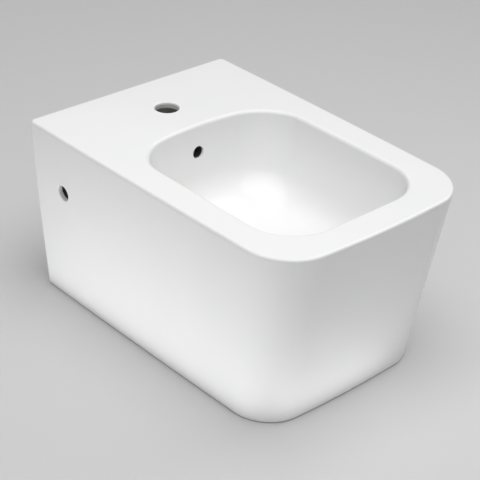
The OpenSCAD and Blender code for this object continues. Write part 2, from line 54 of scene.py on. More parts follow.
# Places taken from the frame
china_low, china_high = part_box("ceramic_body")
deck_z = china_high.z / MM
foot_z = china_low.z / MM
body_h = deck_z - foot_z
waste_low, waste_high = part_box("waste_body")
waste_y = -(waste_low.y + waste_high.y) / 2 / MM
waste_d = 41.91
cone_low, cone_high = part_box("clamp_cone_right")
fix_y = (cone_low.y + cone_high.y) / 2 / MM

# Body
body_w = 360
body_l = 525
side_draw = 8
front_bow = 11
side_lean = 23
front_lean = 39
side_swell = 1.2
front_swell = 0.9
deck_corner_r = 65
foot_corner_r = 56
rear_corner_r = 9
deck_edge_r = 4.5
foot_edge_r = 3

# China thickness
wall_t = 12
deck_t = 10
bowl_t = 11
foot_t = 12
foot_reach = 20
back_t = 13
back_reach = 4
back_bar_h = 28
back_top_h = 8
back_corner_r = 14
pad_t = 4
pad_r = 22
mouth_r = 4
cast_step = 3  # how finely the hollow is sampled

# Basin
rim_side = 51.5
rim_front = 49
basin_rear = 157
basin_depth = 150
basin_rear_bow = 20
basin_front_bow = 3
basin_rear_r = 60
basin_front_r = 64
basin_wall_h = 78
draft_side = 9
draft_rear = 4
draft_front = 16
draft_swell = 1.2
cove_h = 50
cove_w = 45
cove_end = math.radians(75)
lip_r = 5
flow_passes = 14
seat_r = 36
drain_z = deck_z - basin_depth

# Holes
tap_hole_d = 35
tap_hole_y = 87
overflow_d = 18.5
overflow_drop = 43.5
duct_d = 17
duct_t = 8
duct_drop = 22
duct_step = 2
side_hole_d = 23
waste_hole_d = 46
waste_hole_l = 40
waste_hole_t = 17
glaze_edge = 1.6  # round-over of the glaze where a hole meets the surface
tap_glaze_edge = 2.3  # and at the tap hole
glaze_reach = 4  # how far the sprayed glaze runs into a hole
side_glaze_reach = 7  # and into a side hole

# Side fixing
stud_spacing = 180
stud_hole_d = 13
bracket_t = 5
bracket_h = 84
bracket_margin = 44
plate_corner_r = 5
bracket_edge_r = 0.7
leg_end_r = 18
bend_r = 7
thread_d = 12
thread_pitch = 1.75
thread_share = 0.6134  # depth of a thread over its pitch
nut_af = 19
nut_h = 10
nut_face_inset = 0.25
bead_l = 8.5
bead_r = 1.7
bead_out = 0.3
bead_sink = 0.4
washer_d = 24
washer_t = 2.5
socket_af = 6
socket_depth = 7
collar_d = 20
collar_t = 3
screw_edge_r = 0.35
cone_nose_d = 18
cone_base_d = 26
cone_l = 10
cone_flange_d = 32
cone_flange_t = 4
cone_travel = 8
flutes = 12
flute_depth = 0.45
screw_reach = 6.5

# Waste
waste_t = 3.5
waste_l = 68
waste_pitch = 2.309
groove_w = 1.2
groove_depth = 0.6
flange_d = 64
flange_t = 3
flange_bevel = 2
flange_edge_h = 0.8
funnel_gap = 0.5
top_seal_t = 2
seal_setback = 1
slot_w = 9
slot_h = 14
slot_corner_r = 2.5
plain_top = 4
cone_washer_h = 7
cone_washer_d = 60
washer_land = 4
slip_ring_t = 2
back_nut_af = 52
back_nut_h = 8

# Plug
dome_d = 63
dome_h = 5.2
dome_edge_h = 1.4
plug_travel = 8.5
disc_d = 31
disc_t = 4
plug_seal_w = 2
stem_d = 5.8
stem_out = 2
cartridge_d = 16
cartridge_l = 28
well_d = 12.6
well_floor_t = 4
bridge_h = 6
bridge_rise = 8
bridge_ring_t = 3
arm_w = 4
spring_wire_d = 1.1
spring_d = 9.4
spring_turns = 7
cartridge_groove = 0.4
plunger_groove = 0.4

# Clearances
run_gap = 0.06
seat_gap = 0.3
slide_gap = 0.05


# Shared mesh tools

def new_piece(name, points, faces, materials=()):
    """A mesh object from points in millimetres."""
    mesh = bpy.data.meshes.new(name)
    mesh.from_pydata([tuple(p * MM) for p in np.asarray(points, float)], [], faces)
    for material in materials:
        mesh.materials.append(material)
    tidy = bmesh.new()
    tidy.from_mesh(mesh)
    bmesh.ops.recalc_face_normals(tidy, faces=tidy.faces)
    tidy.to_mesh(mesh)
    tidy.free()
    piece = bpy.data.objects.new(name, mesh)
    bpy.context.scene.collection.objects.link(piece)
    return piece


def loft(name, rings, closed=False, ends=None):
    """Skin over rings of as many points each. It joins its last ring to its first where closed,
    and otherwise has a cap of triangles at each end, round the two points of ends or the rings' middles."""
    rings = [np.asarray(r, float) for r in rings]
    n = len(rings[0])
    m = len(rings)
    points = list(np.vstack(rings))
    faces = []
    for j in range(m if closed else m - 1):
        low, high = j * n, (j + 1) % m * n
        for i in range(n):
            k = (i + 1) % n
            faces.append((low + i, low + k, high + k, high + i))
    if not closed:
        middles = ends or (rings[0].mean(axis=0), rings[-1].mean(axis=0))
        for start, middle in zip((0, (m - 1) * n), middles):
            points.append(middle)
            faces += [(start + i, start + (i + 1) % n, len(points) - 1) for i in range(n)]
    return new_piece(name, points, faces)


def block(outline, low, high):
    """A prism over an outline of any shape."""
    outline = np.asarray(outline, float)
    n = len(outline)
    points = np.vstack([at_height(outline, low), at_height(outline, high)])
    sides = [(i, (i + 1) % n, n + (i + 1) % n, n + i) for i in range(n)]
    return new_piece("block", points, sides + [tuple(range(n))[::-1], tuple(range(n, 2 * n))])


def at_height(outline, z):
    return np.column_stack([outline, np.full(len(outline), z)])


def circle(x, y, r, around=72):
    turn = angles(around)
    return np.stack([x + r * np.cos(turn), y + r * np.sin(turn)], axis=1)


def rectangle(x0, y0, x1, y1):
    return [(x0, y0), (x1, y0), (x1, y1), (x0, y1)]


def settle(piece):
    """Applies the piece's modifiers."""
    bpy.context.view_layer.update()
    shown = piece.evaluated_get(bpy.context.evaluated_depsgraph_get())
    mesh = bpy.data.meshes.new_from_object(shown)
    old = piece.data
    piece.modifiers.clear()
    piece.data = mesh
    mesh.name = piece.name
    bpy.data.meshes.remove(old)
    return piece


def combine(piece, other, operation="DIFFERENCE"):
    """Cuts other from piece, or joins or intersects them, and removes other."""
    step = piece.modifiers.new("combine", "BOOLEAN")
    step.solver = "MANIFOLD"
    step.operation = operation
    step.object = other
    settle(piece)
    bpy.data.objects.remove(other)
    return piece


def shade(piece, angle=32):
    """Smooth shading that stays sharp at edges over the angle, with normals led by the larger faces."""
    piece.data.shade_smooth()
    piece.data.set_sharp_from_angle(angle=math.radians(angle))
    weigh = piece.modifiers.new("weighted_normals", "WEIGHTED_NORMAL")
    weigh.keep_sharp = True
    weigh.weight = 60
    return piece


def put(piece, centre, axis, across):
    """Turns a piece built round its own Z so that Z lies along axis and X along across,
    and moves it to centre."""
    z = Vector(axis)
    x = Vector(across)
    turn = Matrix((x, z.cross(x), z)).transposed().to_4x4()
    piece.data.transform(Matrix.Translation(Vector(centre) * MM) @ turn)
    return piece


def angles(around):
    return np.linspace(0, 2 * math.pi, around, endpoint=False)


def turned(name, rows, turn=None, ring=True):
    """A lathe form from rows of (radius, height), each one number or a value for each angle of turn.
    A ring joins its last row to its first. Otherwise its first and last rows are points on the axis."""
    turn = angles(96) if turn is None else turn
    rings = []
    for radius, height in rows:
        radius = np.broadcast_to(np.asarray(radius, float), turn.shape)
        height = np.broadcast_to(np.asarray(height, float), turn.shape)
        rings.append(np.stack([radius * np.cos(turn), radius * np.sin(turn), height], axis=1))
    if ring:
        return loft(name, rings, closed=True)
    return loft(name, rings[1:-1], ends=(rings[0][0], rings[-1][0]))


def eased(corners, radius, steps=3, ring=True):
    """The corners of a profile, each rounded by about the radius."""
    corners = [np.asarray(c, float) for c in corners]
    out = []
    for i, corner in enumerate(corners):
        if not ring and i in (0, len(corners) - 1):
            out.append(corner)
            continue
        before = corners[i - 1] - corner
        after = corners[(i + 1) % len(corners)] - corner
        back = min(radius, np.linalg.norm(before) * 0.45)
        on = min(radius, np.linalg.norm(after) * 0.45)
        start = corner + before / np.linalg.norm(before) * back
        end = corner + after / np.linalg.norm(after) * on
        for s in np.linspace(0, 1, steps + 1):
            out.append((1 - s) ** 2 * start + 2 * s * (1 - s) * corner + s ** 2 * end)
    return out


# Outlines of the china

corner_steps = 20
rear_steps = 14
side_steps = 24
front_steps = 12


def arc(cx, cy, r, start, end, steps):
    turn = np.radians(np.linspace(start, end, steps + 1))
    return np.stack([cx + r * np.cos(turn), cy + r * np.sin(turn)], axis=1)


def plan(hw, rear, front, r_rear, r_front):
    """Rounded rectangle from the middle of the front round by the right, the rear and the left."""
    bottom_x = np.linspace(0, hw - r_front, front_steps + 1)[:-1]
    bottom = np.stack([bottom_x, np.full(front_steps, front)], axis=1)
    side_y = np.linspace(front + r_front, rear - r_rear, side_steps + 1)[1:-1]
    side = np.stack([np.full(side_steps - 1, hw), side_y], axis=1)
    top_x = np.linspace(hw - r_rear, 0, front_steps + 1)[1:]
    top = np.stack([top_x, np.full(front_steps, rear)], axis=1)
    right = np.vstack([
        bottom,
        arc(hw - r_front, front + r_front, r_front, -90, 0, corner_steps),
        side,
        arc(hw - r_rear, rear - r_rear, r_rear, 0, 90, rear_steps),
        top,
    ])
    left = right[-2:0:-1] * [-1, 1]
    return np.vstack([right, left])


def share(h):
    return max(1 - h / body_h, 0)


def lean_x(h):
    return side_lean * share(h) ** side_swell


def lean_y(h):
    return front_lean * share(h) ** front_swell


def along(y):
    return np.clip(-y / body_l, 0, 1)


def draw_in(y):
    return 1 - side_draw * along(y) ** 2 / (body_w / 2)


def bow_out(x, y, hw):
    return front_bow * (1 - (x / hw) ** 2) * np.maximum(2 * along(y) - 1, 0) ** 2


def body_ring(h, inset, rear):
    """The body's outline at height h over the foot, moved in by inset, with its rear edge at rear."""
    hw = body_w / 2 - lean_x(h) - inset
    front = -(body_l - front_bow - lean_y(h) - inset)
    r_front = deck_corner_r + (foot_corner_r - deck_corner_r) * share(h) - inset
    r_rear = max(rear_corner_r - inset, 1)
    p = plan(hw, rear, front, r_rear, r_front)
    x = p[:, 0] * draw_in(p[:, 1])
    y = p[:, 1] - bow_out(x, p[:, 1], hw)
    return np.stack([x, y, np.full(len(p), foot_z + h)], axis=1)


def side_face_x(h, y):
    return (body_w / 2 - lean_x(h)) * draw_in(y)


basin_hw = body_w / 2 - rim_side
basin_front = body_l - rim_front
cove_reach = basin_hw - draft_side - seat_r

# Places that several pieces share
duct_y = -(basin_rear - bowl_t - duct_d / 2)
duct_z = drain_z - duct_drop
overflow_z = deck_z - overflow_drop
seat_x = side_face_x(-foot_z, fix_y) - wall_t - pad_t
cone_seat_r = side_hole_d / 2 - seat_gap
cone_x = seat_x - cone_l * (cone_base_d / 2 - cone_seat_r) / (cone_base_d / 2 - cone_nose_d / 2)
cone_back_x = cone_x - cone_flange_t
collar_x = cone_back_x - seat_gap - collar_t
leg_x = collar_x - cone_travel - 2 * seat_gap
stud_x = stud_spacing / 2
nut_x = leg_x - bracket_t - nut_h
screw_in_x = nut_x - cone_travel / 2
screw_out_x = cone_x + screw_reach
waste_r = waste_d / 2
bore_r = waste_r - waste_t
funnel_r = disc_d / 2 + plug_seal_w + funnel_gap
ring_bore_r = waste_r + slide_gap
flange_top = top_seal_t + flange_t
dome_low = flange_top + seat_gap + plug_travel
disc_low = dome_low - disc_t
nut_top = -waste_hole_l - cone_washer_h - slip_ring_t


def draft_share(d):
    """How much of its draft a basin wall has at depth d."""
    return min(max(d / basin_wall_h, 0), 1) ** draft_swell


def basin_plan(d, out):
    """The basin's outline at depth d on its walls, grown by out."""
    k = draft_share(d)
    hw = basin_hw - draft_side * k + out
    rear = -(basin_rear + draft_rear * k - out)
    front = -(basin_front - basin_front_bow - draft_front * k + out)
    p = plan(hw, rear, front, basin_rear_r + out, basin_front_r + out)
    x, y = p[:, 0], p[:, 1]
    middle = (rear + front) / 2
    t = (y - middle) / (rear - middle)
    rear_bow = -basin_rear_bow * (x / hw) ** 2 * t ** 2
    low_bow = -basin_front_bow * (1 - (x / hw) ** 2) * t ** 2
    return np.stack([x, y + np.where(y > middle, rear_bow, low_bow)], axis=1)


def floor_ring(k, d, thick=0.0, tilt=0.0):
    """The floor's outline, share k of the way from the foot of the walls to the drain's seat."""
    p = basin_plan(basin_wall_h, thick * math.cos(tilt))
    drain = np.array([0, -waste_y])
    out = p - drain
    r = seat_r + thick * math.cos(tilt)
    target = drain + out / np.linalg.norm(out, axis=1)[:, None] * r
    return at_height(p + (target - p) * k, deck_z - d - thick * math.sin(tilt))


def floor_rings(thick, cove_steps, floor_steps):
    """From the foot of the walls down to the drain's seat."""
    depth = basin_wall_h + cove_h * math.sin(cove_end)
    k_end = cove_w * (1 - math.cos(cove_end)) / cove_reach
    rings = []
    for a in np.linspace(0, cove_end, cove_steps + 1):
        k = cove_w * (1 - math.cos(a)) / cove_reach
        rings.append(floor_ring(k, basin_wall_h + cove_h * math.sin(a), thick, a))
    for s in np.linspace(0, 1, floor_steps + 1)[1:]:
        d = depth + (basin_depth - depth) * s
        rings.append(floor_ring(k_end + (1 - k_end) * s, d, thick, math.pi / 2))
    return rings


def flowing(rings, first, last, passes):
    """Evens out the rings from first to last along each column, so that one curve flows into the next."""
    stack = np.array(rings)
    for _ in range(passes):
        even = stack.copy()
        around = stack[first - 1:last - 1] + stack[first + 1:last + 1]
        even[first:last] = (around + 2 * stack[first:last]) / 4
        stack = even
    return list(stack)


# Glazed china body

GLAZED, RAW, PAINTED_SHADE = range(3)  # places of the finishes on the china; the third is near-black clay with painted shade for deep holes


def outer_shell():
    """The body's outside, deck and basin in one skin, closed over the foot and the drain."""
    rings = []
    for a in np.linspace(math.pi / 2, 0, 8):
        inset = foot_edge_r * (1 - math.cos(a))
        rings.append(body_ring(foot_edge_r * (1 - math.sin(a)), inset, -inset))
    for h in np.linspace(foot_edge_r, body_h - deck_edge_r, 44)[1:-1]:
        rings.append(body_ring(h, 0, 0))
    for a in np.linspace(0, math.pi / 2, 9):
        inset = deck_edge_r * (1 - math.cos(a))
        rings.append(body_ring(body_h - deck_edge_r * (1 - math.sin(a)), inset, -inset))
    lip = []
    for a in np.linspace(math.pi / 2, 0, 11):
        drop = lip_r * (1 - math.sin(a))
        lip.append(at_height(basin_plan(drop, lip_r * (1 - math.cos(a))), deck_z - drop))
    edge = rings[-1]
    for s in (0.12, 0.5, 0.88):
        rings.append(edge + (lip[0] - edge) * s)
    rings += lip
    wall_start = len(rings)
    for d in np.linspace(lip_r, basin_wall_h, 18)[1:-1]:
        rings.append(at_height(basin_plan(d, 0), deck_z - d))
    rings += floor_rings(0, 22, 12)
    rings = flowing(rings, wall_start + 4, len(rings) - 1, flow_passes)
    last = rings[-1]
    centre = np.array([0, -waste_y, drain_z])
    for s in (0.12, 0.4):
        rings.append(last + (centre - last) * s)
    return loft("glazed_body", rings)


def back_outline(grow):
    """The opening in the back, in X and Z, with round corners."""
    low = back_bar_h - grow
    high = body_h - deck_t - back_top_h + grow
    low_x = side_face_x(back_bar_h, 0) - wall_t - back_reach + grow
    high_x = side_face_x(high, 0) - wall_t - back_reach + grow
    corners = [(-low_x, low), (low_x, low), (high_x, high), (-high_x, high)]
    return np.array(eased(corners, back_corner_r + grow, steps=6)) + [0, foot_z]


def mouth_flare(depth):
    """How far the mouth of the hollow is rounded open at a depth inside the china's face."""
    left = mouth_r - min(max(depth, 0), mouth_r)
    return mouth_r - math.sqrt(mouth_r ** 2 - left ** 2)


def cavity():
    """What the mould leaves hollow: the chamber behind and under the bowl, open at the back and the foot."""
    past = 8
    high = body_h - deck_t
    hollow = loft("cavity", [body_ring(h, wall_t, -back_t) for h in np.linspace(foot_t, high, 16)])
    rounding = [-past, 0, 0.6, 1.4, 2.4, mouth_r]
    mouth = []
    for h in rounding + [foot_t + 2]:
        reach = foot_reach - mouth_flare(h)
        mouth.append(body_ring(h, wall_t + reach, -back_t - reach))
    combine(hollow, loft("foot_mouth", mouth), "UNION")
    back = []
    for depth in rounding + [back_t + 2]:
        outline = back_outline(mouth_flare(depth))
        back.append(np.stack([outline[:, 0], np.full(len(outline), -depth), outline[:, 1]], axis=1))
    combine(hollow, loft("back_mouth", back), "UNION")
    depths = np.linspace(deck_t / 2, basin_wall_h, 8)[:-1]
    bowl = [at_height(basin_plan(d, bowl_t), deck_z - d) for d in depths]
    combine(hollow, loft("bowl", bowl + floor_rings(bowl_t, 10, 6)))
    half_w = duct_d / 2 + duct_t
    duct_low = duct_z - half_w
    combine(hollow, block(rectangle(-half_w, -basin_rear - bowl_t, half_w, duct_y), duct_low, deck_z))
    combine(hollow, block(circle(0, duct_y, half_w), duct_low, deck_z))
    cove_z = deck_z - basin_wall_h - cove_h / 2
    combine(hollow, block(rectangle(-half_w, -waste_y, half_w, -basin_rear), duct_low, cove_z))
    boss = circle(0, -waste_y, waste_hole_d / 2 + waste_hole_t)
    combine(hollow, block(boss, drain_z - waste_hole_l, drain_z))
    high = wall_t + pad_t
    for side in (-1, 1):
        pad = turned("pad", [(0, 0), (pad_r, 0), (pad_r, high), (0, high)], ring=False)
        combine(hollow, put(pad, (side * seat_x, fix_y, 0), (side, 0, 0), (0, 1, 0)))
    remesh = hollow.modifiers.new("cast", "REMESH")
    remesh.mode = "VOXEL"
    remesh.voxel_size = cast_step * MM
    settle(hollow)
    soften = hollow.modifiers.new("soften", "SMOOTH")
    soften.factor = 0.5
    soften.iterations = 10
    return settle(hollow)


def flare(radius, face, sign=1, edge=glaze_edge, reach=glaze_reach):
    """Rows that open a hole out at a face, as glaze rounds over an edge, and run on past it.
    The face is a function that gives its height at a place beside the hole's axis."""
    rows = [(radius, -reach)]
    for a in np.radians([90, 75, 60, 45, 30, 14]):
        rows.append((radius + edge * (1 - math.sin(a)), -edge * (1 - math.cos(a))))
    r, rise = rows[-1]
    rows += [(r + 0.9, rise + 0.22), (r + 8, rise + 3)]
    rings = []
    for r, rise in rows:
        ring = circle(0, 0, r)
        rings.append(np.column_stack([ring, [face(x, y) + sign * rise for x, y in ring]]))
    return rings


def clad(piece, slot, deep_slot=None, deep=None):
    """Gives a form of the china the slots of its finishes, and its faces one slot,
    or the deep slot where deep says so of a face's middle."""
    for material in china_finishes:
        piece.data.materials.append(material)
    for face in piece.data.polygons:
        face.material_index = deep_slot if deep and deep(face.center / MM) else slot
    return piece


def tap_hole():
    rings = flare(tap_hole_d / 2, lambda x, y: deck_z - deck_t, -1)[::-1]
    rings += flare(tap_hole_d / 2, lambda x, y: deck_z, edge=tap_glaze_edge)
    piece = loft("tap_hole", [r + [0, -tap_hole_y, 0] for r in rings])
    return clad(piece, GLAZED, RAW, lambda middle: middle.z < deck_z - glaze_reach)


def side_hole(side):
    """Runs along X through the side wall, and follows the lean of its face."""
    rings = flare(side_hole_d / 2, lambda y, z: seat_x, -1)[::-1]
    rings += flare(side_hole_d / 2, lambda y, z: side_face_x(z - foot_z, fix_y + y), reach=side_glaze_reach)
    rings = [np.column_stack([side * r[:, 2], r[:, 0] + fix_y, r[:, 1]]) for r in rings]
    glaze_end = seat_x + wall_t + pad_t - side_glaze_reach
    # past the glaze the hole's wall gets the near-black clay: painted shade
    return clad(loft("side_hole", rings), GLAZED, PAINTED_SHADE, lambda middle: abs(middle.x) < glaze_end)


def overflow_hole():
    """Runs along Y from the duct to the basin's rear wall."""
    def face(x, z):
        k = draft_share(overflow_drop - z)
        hw = basin_hw - draft_side * k
        return basin_rear + draft_rear * k + basin_rear_bow * (x / hw) ** 2

    rings = [at_height(circle(0, 0, overflow_d / 2), -duct_y)] + flare(overflow_d / 2, face)
    rings = [np.column_stack([r[:, 0], -r[:, 2], r[:, 1] + overflow_z]) for r in rings]
    glaze_end = glaze_reach - face(0, 0)
    # past the glaze the hole's wall gets the near-black clay: painted shade
    return clad(loft("overflow_hole", rings), GLAZED, PAINTED_SHADE, lambda middle: middle.y > glaze_end)


def ball(x, y, z, r):
    rows = [(r * math.sin(a), -r * math.cos(a)) for a in np.linspace(0, math.pi, 25)]
    return put(turned("ball", rows, ring=False), (x, y, z), (0, 0, 1), (1, 0, 0))


def duct():
    """The overflow's way down behind the basin and along under it to the drain."""
    way = ball(0, duct_y, overflow_z, overflow_d / 2)
    combine(way, block(circle(0, duct_y, duct_d / 2), duct_z, overflow_z), "UNION")
    combine(way, ball(0, duct_y, duct_z, duct_d / 2 - 0.01), "UNION")
    level_r = (duct_d - duct_step) / 2
    level_l = waste_y + duct_y
    level = turned("level", [(0, 0), (level_r, 0), (level_r, level_l), (0, level_l)], ring=False)
    combine(way, put(level, (0, duct_y, duct_z), (0, -1, 0), (1, 0, 0)), "UNION")
    # the whole duct gets the near-black clay: painted shade
    return clad(way, PAINTED_SHADE)


def waste_hole():
    rings = flare(waste_hole_d / 2, lambda x, y: drain_z - waste_hole_l, -1)[::-1]
    rings += flare(waste_hole_d / 2, lambda x, y: drain_z)
    return clad(loft("waste_hole", [r + [0, -waste_y, 0] for r in rings]), GLAZED)


def glazed_body():
    """The china: glazed all over but for the ground faces at the foot and the back, and raw inside."""
    body = clad(outer_shell(), GLAZED)
    for face in body.data.polygons:
        ground = face.normal.z < -0.99 and face.center.z < (foot_z + 1) * MM
        against_wall = face.normal.y > 0.99
        if ground or against_wall:
            face.material_index = RAW
    combine(body, clad(cavity(), RAW))
    for cutter in (tap_hole(), side_hole(-1), side_hole(1), duct(), overflow_hole(), waste_hole()):
        combine(body, cutter)
    return shade(body, 40)


# Threads and nuts

def cut(z, pitch, turn):
    """How deep a right-handed thread is cut at a height."""
    wave = np.abs(2 * ((z / pitch - turn / (2 * math.pi)) % 1) - 1)
    return thread_share * pitch * np.clip((wave - 0.125) / 0.625, 0, 1)


def screw_thread(r, pitch, low, high, turn):
    """Rows up a thread with a chamfered free end at low. It runs out over its last turn."""
    rows = []
    for z in np.linspace(low, high, int((high - low) / pitch * 12) + 1):
        depth = cut(z, pitch, turn) * min(1, (high - z) / pitch)
        rows.append((np.minimum(r - depth, r - thread_share * pitch + z - low), z))
    return rows


def nut_thread(r, pitch, low, high, turn):
    """Rows down the thread inside a nut, opened out at both ends."""
    rows = []
    for z in np.linspace(high, low, int((high - low) / pitch * 12) + 1):
        mouth = r + 0.4 - min(z - low, high - z)
        rows.append((np.maximum(r + run_gap - 0.88 * cut(z, pitch, turn), mouth), z))
    return rows


def hex_turn():
    """Angles round a hexagon with a corner at 0, closer at its corners."""
    near = [60 * i + d for i in range(6) for d in (-1.35, -0.8, -0.4, 0.4, 0.8, 1.35)]
    return np.radians(np.unique(np.mod(np.concatenate([np.arange(0, 360, 5), near]), 360)))


def hex_r(af, turn, corner_r):
    """Radius of a hexagon whose corners are rounded."""
    off = np.abs((turn + math.pi / 6) % (math.pi / 3) - math.pi / 6)
    middle = (af / 2 - corner_r) / math.cos(math.pi / 6)
    last = math.atan(corner_r / 2 / (middle + corner_r * math.cos(math.pi / 6)))
    rounded = middle * np.cos(off) + np.sqrt(np.maximum(corner_r ** 2 - (middle * np.sin(off)) ** 2, 0))
    return np.where(off < last, rounded, af / 2 / np.cos(math.pi / 6 - off))


def hex_nut(name, af, h, r, pitch, low):
    """A nut from low up, its corners turned off at both ends."""
    turn = hex_turn()
    outer = hex_r(af, turn, 0.03 * af)
    face_r = af / 2 - nut_face_inset
    chamfer = (outer - face_r) / 2
    rows = [(face_r, low), (outer, low + chamfer), (outer, low + h - chamfer), (face_r, low + h)]
    return turned(name, rows + nut_thread(r, pitch, low, low + h, turn), turn)


def washer(name, inner, outer, low, high, edge=0.4):
    """A flat ring with eased edges."""
    return turned(name, eased([(inner, low), (outer, low), (outer, high), (inner, high)], edge))


# Side fixing

def bracket(side):
    """A bent steel strip: a plate on the wall with its stud hole, and a leg that tapers to a round end."""
    leg_l = -fix_y + leg_end_r
    plate_x = stud_x - bracket_margin
    bend_x = leg_x - bend_r
    profile = np.vstack([
        [(plate_x, 0), (plate_x, -bracket_t)],
        arc(bend_x, -bend_r, bend_r - bracket_t, 90, 0, 8),
        [(leg_x - bracket_t, -leg_l), (leg_x, -leg_l)],
        arc(bend_x, -bend_r, bend_r, 0, 90, 16),
    ])
    half = bracket_h / 2
    piece = block(profile, -half, half)
    piece.name = "bracket"
    leg = np.vstack([
        [(1, -half), (1, half), (-bracket_t - bend_r, half)],
        arc(fix_y, 0, leg_end_r, 90, 270, 40),
        [(-bracket_t - bend_r, -half)],
    ])
    combine(piece, put(block(leg, 0, leg_x + 1), (0, 0, 0), (1, 0, 0), (0, 1, 0)), "INTERSECT")
    corner = plate_corner_r
    front = np.vstack([
        [(leg_x + 1, -half), (leg_x + 1, half)],
        arc(plate_x + corner, half - corner, corner, 90, 180, 8),
        arc(plate_x + corner, corner - half, corner, 180, 270, 8),
    ])
    combine(piece, put(block(front, -1, leg_l + 1), (0, 0, 0), (0, -1, 0), (1, 0, 0)), "INTERSECT")
    hole = circle(0, 0, stud_hole_d / 2)
    combine(piece, put(block(hole, -1, bracket_t + 1), (stud_x, 0, 0), (0, -1, 0), (1, 0, 0)))
    combine(piece, put(block(hole, -bracket_t - 1, 1), (leg_x, fix_y, 0), (1, 0, 0), (0, 1, 0)))
    merge = piece.modifiers.new("merge", "DECIMATE")
    merge.decimate_type = "DISSOLVE"
    merge.angle_limit = math.radians(1)
    ease = piece.modifiers.new("ease", "BEVEL")
    ease.width = bracket_edge_r * MM
    ease.segments = 3
    ease.limit_method = "ANGLE"
    ease.angle_limit = math.radians(50)
    settle(piece)
    if side < 0:
        piece.data.transform(Matrix.Scale(-1, 4, (1, 0, 0)))
        piece.data.flip_normals()
    return piece


def on_screw(piece, side):
    """Places a form that is built along the clamp screw from its inner end."""
    return put(piece, (side * screw_in_x, fix_y, 0), (side, 0, 0), (0, 0, -1))


def bracket_nut(side):
    """The nut on the back of the leg, with a bead of weld on every other flat."""
    low = nut_x - screw_in_x
    piece = hex_nut("bracket_nut", nut_af, nut_h, thread_d / 2, thread_pitch, low)
    for a in np.radians([30, 150, 270]):
        rows = [(0, -bead_l / 2)]
        for s in np.linspace(-0.96, 0.96, 49):
            ripple = 1 + 0.09 * math.cos(s * 7 * math.pi)
            rows.append((bead_r * ripple * (1 - abs(s) ** 5) ** 0.5, s * bead_l / 2))
        rows.append((0, bead_l / 2))
        out = nut_af / 2 + bead_out
        place = (out * math.cos(a), out * math.sin(a), low + nut_h - bead_sink)
        bead = turned("bead", rows, angles(32), ring=False)
        combine(piece, put(bead, place, (-math.sin(a), math.cos(a), 0), (0, 0, 1)), "UNION")
    return on_screw(piece, side)


def clamp_screw(side):
    """Threaded behind its collar, with a hex socket in its outer end."""
    turn = hex_turn()
    r = thread_d / 2
    end_r = r - thread_share * thread_pitch
    length = screw_out_x - screw_in_x
    collar = collar_x - screw_in_x
    rows = [(0, 0)] + screw_thread(r, thread_pitch, 0, collar - 1.2, turn)
    rows += eased([
        (r, collar - 1), (r, collar), (collar_d / 2, collar), (collar_d / 2, collar + collar_t),
        (r, collar + collar_t), (r, length + end_r - r), (end_r, length),
    ], screw_edge_r, ring=False)
    socket = hex_r(socket_af, turn, 0.15)
    floor = length - socket_depth
    rows += [(socket_af * 0.63, length), (socket, length - 0.5), (socket, floor), (socket_af * 0.45, floor)]
    return on_screw(turned("clamp_screw", rows + [(0, floor - 1.2)], turn, ring=False), side)


def clamp_cone(side):
    """Moulded nylon, with shallow flutes down its taper."""
    turn = angles(144)
    inner = thread_d / 2 + run_gap
    nose = cone_flange_t + cone_l
    flange_r = cone_flange_d / 2
    rows = eased([(inner + 1.5, 0.0), (flange_r, 0), (flange_r, cone_flange_t)], 0.7, ring=False)[:-1]
    rows += [(flange_r - 0.2, cone_flange_t), (cone_base_d / 2 + 0.4, cone_flange_t)]
    for s in np.linspace(0.02, 0.93, 12):
        radius = cone_base_d / 2 + (cone_nose_d - cone_base_d) / 2 * s
        flute = flute_depth * math.sin(math.pi * s) ** 0.5 * np.maximum(np.cos(flutes * turn), 0) ** 2
        rows.append((radius - flute, cone_flange_t + cone_l * s))
    rows += [(cone_nose_d / 2 - 0.25, nose), (inner + 0.5, nose), (inner, nose - 0.5), (inner, 0.5)]
    piece = turned("clamp_cone", rows, turn)
    return put(piece, (side * cone_back_x, fix_y, 0), (side, 0, 0), (0, 0, -1))


def stud_washer(side):
    piece = washer("stud_washer", stud_hole_d / 2, washer_d / 2, 0, washer_t, 0.35)
    return put(piece, (side * stud_x, -bracket_t, 0), (0, -1, 0), (1, 0, 0))


def stud_nut(side):
    piece = hex_nut("stud_nut", nut_af, nut_h, thread_d / 2, thread_pitch, 0)
    return put(piece, (side * stud_x, -bracket_t - washer_t, 0), (0, -1, 0), (1, 0, 0))


# Waste and plug, built with height 0 on the basin's floor

def at_waste(piece):
    return put(piece, (0, -waste_y, drain_z), (0, 0, 1), (1, 0, 0))


